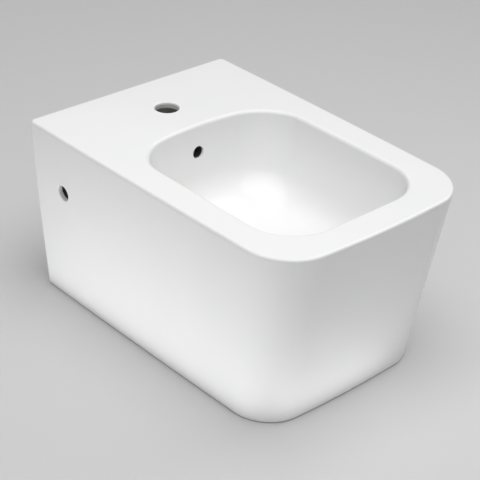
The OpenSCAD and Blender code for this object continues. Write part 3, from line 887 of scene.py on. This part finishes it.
def waste_body():
    """Flanged brass tube with a funnel for the plug, overflow slots and a bridge for the cartridge."""
    turn = angles(120)
    groove_top = nut_top - back_nut_h
    groove_r = waste_r - groove_depth
    rows = [(bore_r, -waste_l + 0.4), (bore_r + 0.4, -waste_l)]
    rows += screw_thread(waste_r, waste_pitch, -waste_l, groove_top - groove_w - 0.1, turn)
    rows += [(groove_r, groove_top - groove_w), (groove_r, groove_top)]
    rows += screw_thread(waste_r, waste_pitch, groove_top + 0.1, plain_top - waste_hole_l, turn)
    edge = flange_d / 2
    rows += eased([
        (waste_r, plain_top + 1 - waste_hole_l), (waste_r, top_seal_t), (edge - flange_edge_h, top_seal_t),
        (edge, top_seal_t + flange_edge_h), (edge - flange_bevel, flange_top), (funnel_r, flange_top),
        (funnel_r, flange_top / 2), (bore_r, 0), (bore_r, -waste_l + 1),
    ], 0.5, ring=False)
    piece = turned("waste_body", rows, turn)
    slot = eased(rectangle(-slot_w / 2, -slot_h / 2, slot_w / 2, slot_h / 2), slot_corner_r, steps=6)
    for a in np.radians([60, 180, 300]):
        out = (math.cos(a), math.sin(a), 0)
        across = (-math.sin(a), math.cos(a), 0)
        combine(piece, put(block(slot, 0, waste_r + 1), (0, 0, -duct_drop), out, across))
    low = bridge_rise - cartridge_l
    hub = washer("hub", cartridge_d / 2, cartridge_d / 2 + bridge_ring_t, low, low + bridge_h, 0.8)
    combine(piece, hub, "UNION")
    arm_start = cartridge_d / 2 + bridge_ring_t / 3
    arm = eased(rectangle(-arm_w / 2, low, arm_w / 2, low + bridge_h), 1.2, steps=5)
    for a in np.radians([0, 120, 240]):
        out = (math.cos(a), math.sin(a), 0)
        across = (-math.sin(a), math.cos(a), 0)
        combine(piece, put(block(arm, arm_start, bore_r + 1), (0, 0, 0), out, across), "UNION")
    return at_waste(piece)


def waste_cone_washer():
    top = -waste_hole_l
    low = top - cone_washer_h
    outer = cone_washer_d / 2
    corners = [
        (ring_bore_r, top), (waste_hole_d / 2 + washer_land, top), (outer, top - cone_washer_h / 2),
        (outer, low), (ring_bore_r, low),
    ]
    return at_waste(turned("waste_cone_washer", eased(corners, 0.8)))


def plug_cartridge():
    """Guides the plug's stem, and has a well for the spring."""
    stem_bore = stem_d / 2 + run_gap
    low = -cartridge_l
    outer = cartridge_d / 2
    corners = [(stem_bore, low), (outer, low)]
    groove_r = outer - cartridge_groove
    for rise in (3, cartridge_l - 6):
        start = low + rise
        corners += [(outer, start), (groove_r, start + 0.4), (groove_r, start + 2.2), (outer, start + 2.6)]
    well_low = low + well_floor_t
    corners += [(outer, 0), (well_d / 2, 0), (well_d / 2, well_low), (stem_bore, well_low)]
    return at_waste(turned("plug_cartridge", eased(corners, 0.35)))


def plug_dome():
    """The cap: a flat crown over an edge that turns under, hollowed below its rim."""
    r = dome_d / 2
    seat = disc_d / 2 + plug_seal_w + 1.2
    low = dome_low
    rows = [(0, low)]
    rows += eased([
        (0.5, low), (seat, low), (seat + 0.6, low + 0.8), (r - 3.4, low + 0.8), (r - 2.8, low),
        (r - dome_edge_h / 2, low), (r, low + dome_edge_h),
    ], 0.3, ring=False)[:-1]
    rows.append((r - 0.02, low + dome_edge_h - 0.2))
    for t in 1 - np.cos(np.linspace(0, math.pi / 2, 30))[:-1]:
        rise = dome_edge_h + (dome_h - dome_edge_h) * (1 - (1 - t) ** 2)
        rows.append((r * (1 - t) - 0.02 * (1 - t), low + rise))
    rows.append((0, low + dome_h))
    return at_waste(turned("plug_dome", rows, angles(160), ring=False))


def plug_seal():
    r = disc_d / 2
    out = r + plug_seal_w
    high = disc_low + disc_t
    corners = [(r, disc_low), (out, disc_low), (out, high), (r, high)]
    return at_waste(turned("plug_seal", eased(corners, 1, steps=6)))


def plug_plunger():
    """Disc and stem under the cap, with a groove near the stem's end."""
    r = stem_d / 2
    groove_r = r - plunger_groove
    low = -cartridge_l - stem_out
    high = disc_low + disc_t
    rows = [(0, low)] + eased([
        (0.4, low), (r, low), (r, low + 1), (groove_r, low + 1), (groove_r, low + 1.8), (r, low + 1.8),
        (r, disc_low - 1), (r + 1, disc_low), (disc_d / 2, disc_low), (disc_d / 2, high), (0.4, high),
    ], 0.3, ring=False)
    return at_waste(turned("plug_plunger", rows + [(0, high)], ring=False))


def plug_spring():
    """Round wire with one closed turn at each end."""
    low = -cartridge_l + well_floor_t + spring_wire_d / 2
    high = disc_low - seat_gap - spring_wire_d / 2
    closed = spring_wire_d * 1.03
    turns = spring_turns + 2
    at = np.linspace(0, turns, turns * 36 + 1)
    rise = np.interp(at, [0, 1, turns - 1, turns], [low, low + closed, high - closed, high])
    turn = 2 * math.pi * at
    middle = np.stack([spring_d / 2 * np.cos(turn), spring_d / 2 * np.sin(turn), rise], axis=1)
    along_wire = np.gradient(middle, axis=0)
    along_wire /= np.linalg.norm(along_wire, axis=1)[:, None]
    out = np.stack([np.cos(turn), np.sin(turn), np.zeros_like(turn)], axis=1)
    up = np.cross(along_wire, -out)
    section = angles(14)[:, None]
    rings = []
    for m, o, u in zip(middle, out, up):
        rings.append(m + spring_wire_d / 2 * (np.cos(section) * o + np.sin(section) * u))
    return at_waste(loft("plug_spring", rings))


# Finishes

def linear(text):
    """Linear colour from an sRGB hex value."""
    out = []
    for i in (0, 2, 4):
        c = int(text[i:i + 2], 16) / 255
        out.append(c / 12.92 if c <= 0.04045 else ((c + 0.055) / 1.055) ** 2.4)
    return (*out, 1)


def add(tree, kind, inputs=None, **settings):
    """Adds a node with its settings. Each input is a value, or the output that feeds it."""
    made = tree.nodes.new(kind)
    for name, value in settings.items():
        setattr(made, name, value)
    for name, value in (inputs or {}).items():
        if isinstance(value, bpy.types.NodeSocket):
            tree.links.new(value, made.inputs[name])
        else:
            made.inputs[name].default_value = value
    return made


def finish(name):
    """An empty material, its node tree and the place on the piece in metres."""
    material = bpy.data.materials.new(name)
    material.use_nodes = True
    tree = material.node_tree
    tree.nodes.clear()
    return material, tree, add(tree, "ShaderNodeTexCoord").outputs["Object"]


def surface(tree, inputs):
    """The shader that a material ends in."""
    shader = add(tree, "ShaderNodeBsdfPrincipled", inputs)
    add(tree, "ShaderNodeOutputMaterial", {"Surface": shader.outputs["BSDF"]})


def per_metre(millimetres):
    """Noise scale whose features are about this size."""
    return 1000 / millimetres


def vitreous_glaze():
    """Opaque white tin glaze on vitreous china, dipped and fired: a glassy coat that levels itself,
    with a faint orange peel and a slow waviness that show only in reflections."""
    material, tree, place = finish("vitreous_china_glaze")
    cloud = add(tree, "ShaderNodeTexNoise", {"Vector": place, "Scale": per_metre(90), "Detail": 2.0})
    tone = add(tree, "ShaderNodeMix", {
        "Factor": cloud.outputs["Fac"], "A": linear("F6F6F5"), "B": linear("F2F3F3"),
    }, data_type="RGBA")
    wave = add(tree, "ShaderNodeTexNoise", {"Vector": place, "Scale": per_metre(60), "Detail": 1.0})
    slow = add(tree, "ShaderNodeBump", {
        "Height": wave.outputs["Fac"], "Strength": 0.35, "Distance": 0.35 * MM,
    })
    peel = add(tree, "ShaderNodeTexNoise", {"Vector": place, "Scale": per_metre(3.5), "Detail": 1.5})
    bump = add(tree, "ShaderNodeBump", {
        "Height": peel.outputs["Fac"], "Strength": 0.1, "Distance": 0.05 * MM,
        "Normal": slow.outputs["Normal"],
    })
    surface(tree, {
        "Base Color": tone.outputs["Result"], "Roughness": 0.32, "IOR": 1.5, "Coat Weight": 0.6,
        "Coat Roughness": 0.06, "Normal": bump.outputs["Normal"],
    })
    return material


def raw_china():
    """Vitreous china left raw where it was cast against plaster or ground flat: matt, a little warmer,
    with fine casting grain and dusty overspray of glaze."""
    material, tree, place = finish("raw_vitreous_china")
    spray = add(tree, "ShaderNodeTexNoise", {
        "Vector": place, "Scale": per_metre(35), "Detail": 5.0, "Roughness": 0.6,
    })
    patches = add(tree, "ShaderNodeValToRGB", {"Fac": spray.outputs["Fac"]})
    patches.color_ramp.elements[0].position = 0.4
    patches.color_ramp.elements[0].color = linear("CAC8C3")
    patches.color_ramp.elements[1].position = 0.62
    patches.color_ramp.elements[1].color = linear("D5D3CE")
    gloss = add(tree, "ShaderNodeMapRange", {
        "Value": spray.outputs["Fac"], "From Min": 0.4, "From Max": 0.62, "To Min": 0.75,
        "To Max": 0.5,
    })
    grain = add(tree, "ShaderNodeTexNoise", {"Vector": place, "Scale": per_metre(1.6), "Detail": 3.0})
    bump = add(tree, "ShaderNodeBump", {
        "Height": grain.outputs["Fac"], "Strength": 0.4, "Distance": 0.12 * MM,
    })
    surface(tree, {
        "Base Color": patches.outputs["Color"], "Roughness": gloss.outputs["Result"], "IOR": 1.5,
        "Normal": bump.outputs["Normal"],
    })
    return material


def clay_with_painted_shade():
    """The china in the overflow's duct and deep in the side holes, which neither glaze nor sponge reaches:
    unglazed, dull and matt, with painted shade in its near-black colour, so that the holes look deep."""
    material, tree, place = finish("duct_clay_painted_shade")
    mottle = add(tree, "ShaderNodeTexNoise", {"Vector": place, "Scale": per_metre(6), "Detail": 4.0})
    # painted shade: the near-black tones stand in for the shade deep in the holes, and the noise only
    # mottles them
    tone = add(tree, "ShaderNodeMix", {
        "Factor": mottle.outputs["Fac"], "A": linear("333332"), "B": linear("444443"),
    }, data_type="RGBA")
    bump = add(tree, "ShaderNodeBump", {
        "Height": mottle.outputs["Fac"], "Strength": 0.5, "Distance": 0.3 * MM,
    })
    surface(tree, {
        "Base Color": tone.outputs["Result"], "Roughness": 0.9, "IOR": 1.5,
        "Normal": bump.outputs["Normal"],
    })
    return material


def zinc_plate():
    """Bright zinc plating on cold-formed steel: a cool satin metal, clouded where it was passivated,
    with fine scuffs from the plating barrel."""
    material, tree, place = finish("bright_zinc_plated_steel")
    cloud = add(tree, "ShaderNodeTexNoise", {
        "Vector": place, "Scale": per_metre(9), "Detail": 4.0, "Distortion": 0.6,
    })
    tone = add(tree, "ShaderNodeMix", {
        "Factor": cloud.outputs["Fac"], "A": linear("BFC6CD"), "B": linear("D6D4C9"),
    }, data_type="RGBA")
    gloss = add(tree, "ShaderNodeMapRange", {
        "Value": cloud.outputs["Fac"], "To Min": 0.28, "To Max": 0.46,
    })
    scuff = add(tree, "ShaderNodeTexNoise", {"Vector": place, "Scale": per_metre(0.9), "Detail": 3.0})
    bump = add(tree, "ShaderNodeBump", {
        "Height": scuff.outputs["Fac"], "Strength": 0.25, "Distance": 0.05 * MM,
    })
    surface(tree, {
        "Base Color": tone.outputs["Result"], "Roughness": gloss.outputs["Result"], "Metallic": 1.0,
        "Normal": bump.outputs["Normal"],
    })
    return material


def moulded_nylon():
    """Black glass-filled nylon, injection moulded against a spark-eroded tool: dark grey where it catches
    light, with a fine even grain."""
    material, tree, place = finish("moulded_black_nylon")
    streak = add(tree, "ShaderNodeTexNoise", {"Vector": place, "Scale": per_metre(5), "Detail": 4.0})
    tone = add(tree, "ShaderNodeMix", {
        "Factor": streak.outputs["Fac"], "A": linear("181819"), "B": linear("28282A"),
    }, data_type="RGBA")
    grain = add(tree, "ShaderNodeTexNoise", {"Vector": place, "Scale": per_metre(0.5), "Detail": 2.0})
    bump = add(tree, "ShaderNodeBump", {
        "Height": grain.outputs["Fac"], "Strength": 0.5, "Distance": 0.04 * MM,
    })
    surface(tree, {
        "Base Color": tone.outputs["Result"], "Roughness": 0.48, "IOR": 1.53,
        "Normal": bump.outputs["Normal"],
    })
    return material


def polished_chrome():
    """Chromium plated over polished brass: a cool mirror with the polisher's faint waviness."""
    material, tree, place = finish("polished_chrome_plate")
    haze = add(tree, "ShaderNodeTexNoise", {"Vector": place, "Scale": per_metre(12), "Detail": 3.0})
    gloss = add(tree, "ShaderNodeMapRange", {
        "Value": haze.outputs["Fac"], "To Min": 0.04, "To Max": 0.11,
    })
    wave = add(tree, "ShaderNodeTexNoise", {"Vector": place, "Scale": per_metre(14), "Detail": 1.0})
    bump = add(tree, "ShaderNodeBump", {
        "Height": wave.outputs["Fac"], "Strength": 0.25, "Distance": 0.05 * MM,
    })
    surface(tree, {
        "Base Color": linear("C9CBCC"), "Roughness": gloss.outputs["Result"], "Metallic": 1.0,
        "Normal": bump.outputs["Normal"],
    })
    return material


def turned_brass():
    """Bare brass off the lathe, its tool marks in rings round the waste and its colour dulled in patches.
    The marks are 0.1 mm apart on a real nut, and are drawn at 0.5 mm to show."""
    material, tree, place = finish("turned_brass")
    mark_gap = 0.5
    centred = add(tree, "ShaderNodeVectorMath", {0: place, 1: (0, waste_y * MM, 0)}, operation="ADD")
    rings = add(tree, "ShaderNodeTexWave", {
        "Vector": centred.outputs["Vector"], "Scale": per_metre(mark_gap) / 20, "Distortion": 0.6,
        "Detail": 1.0,
    }, wave_type="RINGS", rings_direction="Z")
    dull = add(tree, "ShaderNodeTexNoise", {"Vector": place, "Scale": per_metre(11), "Detail": 4.0})
    tone = add(tree, "ShaderNodeMix", {
        "Factor": dull.outputs["Fac"], "A": linear("DDBE6C"), "B": linear("B9934A"),
    }, data_type="RGBA")
    gloss = add(tree, "ShaderNodeMapRange", {
        "Value": dull.outputs["Fac"], "To Min": 0.2, "To Max": 0.42,
    })
    bump = add(tree, "ShaderNodeBump", {
        "Height": rings.outputs["Fac"], "Strength": 0.35, "Distance": 0.04 * MM,
    })
    surface(tree, {
        "Base Color": tone.outputs["Result"], "Roughness": gloss.outputs["Result"], "Metallic": 1.0,
        "Normal": bump.outputs["Normal"],
    })
    return material


def seal_rubber():
    """Black nitrile rubber, compression moulded: matt, with a greyish bloom in patches."""
    material, tree, place = finish("moulded_nitrile_rubber")
    bloom = add(tree, "ShaderNodeTexNoise", {
        "Vector": place, "Scale": per_metre(8), "Detail": 5.0, "Roughness": 0.6,
    })
    tone = add(tree, "ShaderNodeMix", {
        "Factor": bloom.outputs["Fac"], "A": linear("1C1C1D"), "B": linear("313131"),
    }, data_type="RGBA")
    skin = add(tree, "ShaderNodeTexNoise", {"Vector": place, "Scale": per_metre(1.2), "Detail": 3.0})
    bump = add(tree, "ShaderNodeBump", {
        "Height": skin.outputs["Fac"], "Strength": 0.3, "Distance": 0.05 * MM,
    })
    surface(tree, {
        "Base Color": tone.outputs["Result"], "Roughness": 0.7, "IOR": 1.52,
        "Normal": bump.outputs["Normal"],
    })
    return material


def moulded_acetal():
    """White acetal, injection moulded: waxy and slightly see-through, with flow lines that barely show."""
    material, tree, place = finish("moulded_white_acetal")
    flow = add(tree, "ShaderNodeTexNoise", {
        "Vector": place, "Scale": per_metre(7), "Detail": 2.0, "Distortion": 1.5,
    })
    tone = add(tree, "ShaderNodeMix", {
        "Factor": flow.outputs["Fac"], "A": linear("EFEDE6"), "B": linear("E4E1D8"),
    }, data_type="RGBA")
    skin = add(tree, "ShaderNodeTexNoise", {"Vector": place, "Scale": per_metre(0.8), "Detail": 2.0})
    bump = add(tree, "ShaderNodeBump", {
        "Height": skin.outputs["Fac"], "Strength": 0.2, "Distance": 0.03 * MM,
    })
    surface(tree, {
        "Base Color": tone.outputs["Result"], "Roughness": 0.36, "IOR": 1.48,
        "Subsurface Weight": 0.12, "Subsurface Scale": 0.0015, "Normal": bump.outputs["Normal"],
    })
    return material


def drawn_stainless():
    """Stainless spring wire and turned bar: a warm grey metal with fine drawing lines along its height."""
    material, tree, place = finish("drawn_stainless_steel")
    squeeze = add(tree, "ShaderNodeMapping", {"Vector": place, "Scale": (1, 1, 0.12)})
    line = add(tree, "ShaderNodeTexNoise", {
        "Vector": squeeze.outputs["Vector"], "Scale": per_metre(0.4), "Detail": 2.0,
    })
    gloss = add(tree, "ShaderNodeMapRange", {
        "Value": line.outputs["Fac"], "To Min": 0.18, "To Max": 0.36,
    })
    bump = add(tree, "ShaderNodeBump", {
        "Height": line.outputs["Fac"], "Strength": 0.2, "Distance": 0.02 * MM,
    })
    surface(tree, {
        "Base Color": linear("C8C5C0"), "Roughness": gloss.outputs["Result"], "Metallic": 1.0,
        "Normal": bump.outputs["Normal"],
    })
    return material


# Studio

camera_at = Vector((-1.20319, -1.54371, 0.99872))
view_turn = math.radians(-42.99)
view_rise = math.radians(30.841)
view_roll = math.radians(2.496)
lens_mm = 108.932
floor_hex = "D6D6D6"
backdrop_hex = "AFAFAF"
lamp_aim = Vector((0, -0.26, 0.05))  # the middle of the basin
floor_half = 6
floor_gap = 0.0005
panel_rise = 0.001


def camera():
    """The photograph's view, without shift."""
    back = Vector((math.sin(view_turn) * math.cos(view_rise), -math.cos(view_turn) * math.cos(view_rise),
                   math.sin(view_rise)))
    level = Vector((math.cos(view_turn), math.sin(view_turn), 0))
    rise = back.cross(level)
    right = level * math.cos(view_roll) + rise * math.sin(view_roll)
    up = rise * math.cos(view_roll) - level * math.sin(view_roll)
    data = bpy.data.cameras.new("camera")
    data.sensor_width = 36
    data.lens = lens_mm
    data.clip_end = 50
    eye = bpy.data.objects.new("camera", data)
    eye.matrix_world = Matrix.Translation(camera_at) @ Matrix((right, up, back)).transposed().to_4x4()
    bpy.context.scene.collection.objects.link(eye)
    bpy.context.scene.camera = eye


def link_lamp(name, kind, strength):
    data = bpy.data.lights.new(name, kind)
    data.energy = strength
    light = bpy.data.objects.new(name, data)
    bpy.context.scene.collection.objects.link(light)
    return light


def direction(turn, rise):
    """Towards a lamp that is turned from the front and raised from level by degrees."""
    turn, rise = math.radians(turn), math.radians(rise)
    return Vector((math.sin(turn) * math.cos(rise), -math.cos(turn) * math.cos(rise), math.sin(rise)))


def soft_lamp(name, turn, rise, spread, strength):
    """A large soft lamp far away."""
    light = link_lamp(name, "SUN", strength)
    light.data.angle = math.radians(spread)
    light.rotation_euler = direction(turn, rise).to_track_quat("Z", "Y").to_euler()


def soft_box(name, turn, rise, distance, size, strength):
    """A round soft box near the piece, aimed at the basin, so that what is nearer to it is lighter.
    Its strength is what reaches the basin."""
    light = link_lamp(name, "AREA", strength * math.pi * distance ** 2)
    light.data.shape = "DISK"
    light.data.size = size
    toward = direction(turn, rise)
    light.location = lamp_aim + toward * distance
    light.rotation_euler = toward.to_track_quat("Z", "Y").to_euler()
    light.visible_camera = False
    light.visible_glossy = False


def low_panel(name, x, y, width, depth, watts):
    """Light thrown back up by the table beside the piece."""
    light = link_lamp(name, "AREA", watts)
    light.data.shape = "RECTANGLE"
    light.data.size = width
    light.data.size_y = depth
    light.location = (x, y, foot_z * MM + panel_rise)
    light.rotation_euler = (math.pi, 0, 0)
    light.visible_camera = False
    light.visible_glossy = False


def studio():
    """A pale floor under soft lamps, in an even surround of the far floor's tone."""
    soft_lamp("key", -60, 65, 80, 1.09)
    soft_box("top", 0, 78, 1.6, 1.4, 1.67)
    soft_lamp("right", 90, 45, 40, 0.50)
    soft_lamp("back", 150, 45, 40, 0.14)
    low_panel("left_table", -0.425, -0.27, 0.21, 0.70, 0.70)
    low_panel("left_edge", -0.245, -0.27, 0.14, 0.62, 0.295)
    low_panel("front_edge", -0.05, -0.555, 0.24, 0.09, 0.088)
    world = bpy.data.worlds.new("surround")
    world.use_nodes = True
    tree = world.node_tree
    tree.nodes.clear()
    lit = add(tree, "ShaderNodeBackground", {"Color": linear("FFFFFF"), "Strength": 0.12})
    seen = add(tree, "ShaderNodeBackground", {"Color": linear(backdrop_hex), "Strength": 1.0})
    ray = add(tree, "ShaderNodeLightPath")
    glossy = add(tree, "ShaderNodeMath", {
        0: ray.outputs["Is Camera Ray"], 1: ray.outputs["Is Glossy Ray"],
    }, operation="MAXIMUM")
    clear = add(tree, "ShaderNodeMath", {
        0: glossy.outputs["Value"], 1: ray.outputs["Is Transmission Ray"],
    }, operation="MAXIMUM")
    choice = add(tree, "ShaderNodeMixShader", {
        0: clear.outputs["Value"], 1: lit.outputs["Background"], 2: seen.outputs["Background"],
    })
    add(tree, "ShaderNodeOutputWorld", {"Surface": choice.outputs["Shader"]})
    bpy.context.scene.world = world
    floor_z = foot_z * MM - floor_gap
    corners = rectangle(-floor_half, -floor_half, floor_half, floor_half)
    data = bpy.data.meshes.new("floor")
    data.from_pydata([(x, y, floor_z) for x, y in corners], [], [(0, 1, 2, 3)])
    ground = bpy.data.objects.new("floor", data)
    bpy.context.scene.collection.objects.link(ground)
    material, tree, place = finish("pale_studio_floor")
    surface(tree, {"Base Color": linear(floor_hex), "Roughness": 0.9})
    data.materials.append(material)


camera()
studio()

china_finishes = (vitreous_glaze(), raw_china(), clay_with_painted_shade())
finishes = {
    "zinc_plated_steel": zinc_plate(),
    "black_nylon": moulded_nylon(),
    "chromed_brass": polished_chrome(),
    "bare_brass": turned_brass(),
    "seal_rubber": seal_rubber(),
    "white_acetal": moulded_acetal(),
    "stainless_steel": drawn_stainless(),
}


def fit(piece, node, slot, body="fixed_body"):
    """Gives a piece its finish, its name and its place in the assembly."""
    piece.name = node + "_finished"
    if slot in finishes:
        piece.data.materials.clear()
        piece.data.materials.append(finishes[slot])
        shade(piece)
    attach(piece, body)
    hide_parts(node)
    return piece


fit(glazed_body(), "ceramic_body", "glazed_china")

for side, hand in ((-1, "left"), (1, "right")):
    fit(bracket(side), "bracket_" + hand, "zinc_plated_steel")
    fit(stud_washer(side), "stud_washer_" + hand, "zinc_plated_steel")
    fit(stud_nut(side), "stud_nut_" + hand, "zinc_plated_steel")
    fit(bracket_nut(side), "bracket_nut_" + hand, "zinc_plated_steel")
    fit(clamp_screw(side), "clamp_screw_" + hand, "zinc_plated_steel", "screw_" + hand)
    fit(clamp_cone(side), "clamp_cone_" + hand, "black_nylon", "cone_" + hand)

fit(waste_body(), "waste_body", "chromed_brass")
top_seal = washer("waste_top_seal", ring_bore_r, flange_d / 2 - seal_setback, 0, top_seal_t, 0.7)
fit(at_waste(top_seal), "waste_top_seal", "seal_rubber")
fit(waste_cone_washer(), "waste_cone_washer", "seal_rubber")
slip_ring = washer("waste_slip_ring", ring_bore_r, cone_washer_d / 2, nut_top, nut_top + slip_ring_t)
fit(at_waste(slip_ring), "waste_slip_ring", "white_acetal")
back_nut = hex_nut("waste_back_nut", back_nut_af, back_nut_h, waste_r, waste_pitch, nut_top - back_nut_h)
fit(at_waste(back_nut), "waste_back_nut", "bare_brass")

fit(plug_cartridge(), "plug_cartridge", "white_acetal")
fit(plug_dome(), "plug_dome", "chromed_brass", "plug")
fit(plug_seal(), "plug_seal", "seal_rubber", "plug")
fit(plug_plunger(), "plug_plunger", "stainless_steel", "plug")
spring = fit(plug_spring(), "plug_spring", "stainless_steel")
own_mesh(spring)

bpy.context.scene.view_settings.view_transform = "Standard"
